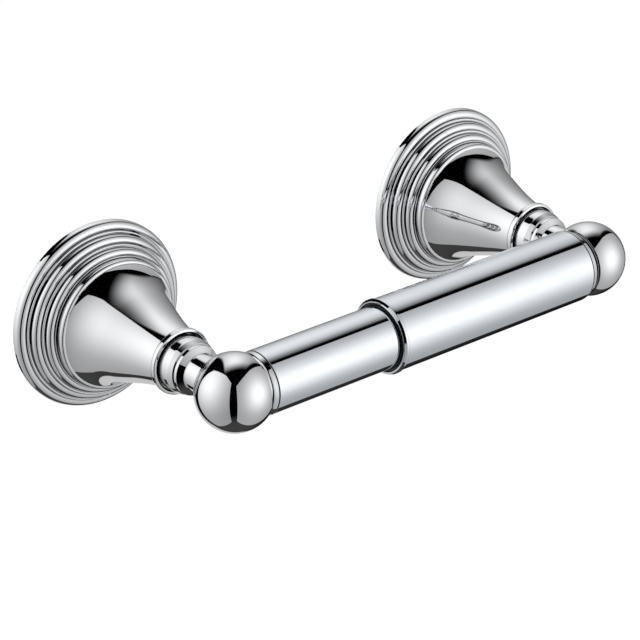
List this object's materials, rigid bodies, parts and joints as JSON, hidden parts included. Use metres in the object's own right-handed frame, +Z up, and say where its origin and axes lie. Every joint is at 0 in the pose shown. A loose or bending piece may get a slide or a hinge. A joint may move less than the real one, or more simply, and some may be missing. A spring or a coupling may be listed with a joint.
{
  "type": "toilet paper holder",
  "caption": "Wall-mounted double-post toilet paper holder: stepped round flanges, flared posts, ball ends and a spring-loaded telescopic roller.",
  "frame": {"origin": "on the wall plane, midway between the two post axes and level with them", "axes": "+X along the roller to the right seen from the room, +Y into the wall, +Z up"},
  "size_m": [0.227, 0.0902, 0.067],
  "materials": {
    "polished_chrome": "polished chrome plate on cast and turned brass",
    "chromed_tube": "polished chrome plate on drawn tube",
    "cast_zinc": "bare zinc casting, satin",
    "zinc_plated_steel": "bright zinc plate",
    "stainless_steel": "plain stainless steel",
    "spring_steel": "drawn spring wire",
    "black_plastic": "moulded acetal, satin",
    "white_plastic": "moulded nylon, satin"
  },
  "bodies": {
    "posts": {"left_wall_bracket": "cast_zinc", "left_flange": "polished_chrome", "left_bell": "polished_chrome", "left_neck": "polished_chrome", "left_ball": "polished_chrome", "left_tie_stud": "zinc_plated_steel", "left_stud_washer": "zinc_plated_steel", "left_stud_nut": "zinc_plated_steel", "left_set_screw": "stainless_steel", "right_wall_bracket": "cast_zinc", "right_flange": "polished_chrome", "right_bell": "polished_chrome", "right_neck": "polished_chrome", "right_ball": "polished_chrome", "right_tie_stud": "zinc_plated_steel", "right_stud_washer": "zinc_plated_steel", "right_stud_nut": "zinc_plated_steel", "right_set_screw": "stainless_steel"},
    "roller": {"outer_tube": "chromed_tube", "outer_end_cap": "polished_chrome", "tube_mouth_bush": "black_plastic", "roller_spring": "spring_steel"},
    "inner_roller": {"inner_tube": "chromed_tube", "inner_end_cap": "polished_chrome", "guide_ring": "white_plastic"}
  },
  "joints": [
    {"name": "roller_spin", "type": "hinge", "parent": "posts", "child": "roller", "pos_m": [0, -0.0769, 0], "axis": [1, 0, 0], "continuous": true},
    {"name": "inner_slide", "type": "slide", "parent": "roller", "child": "inner_roller", "axis": [1, 0, 0], "range_m": [0, 0.016], "stiffness_N_per_m": 300, "springref_m": -0.02, "deforming": ["roller_spring"]}
  ]
}
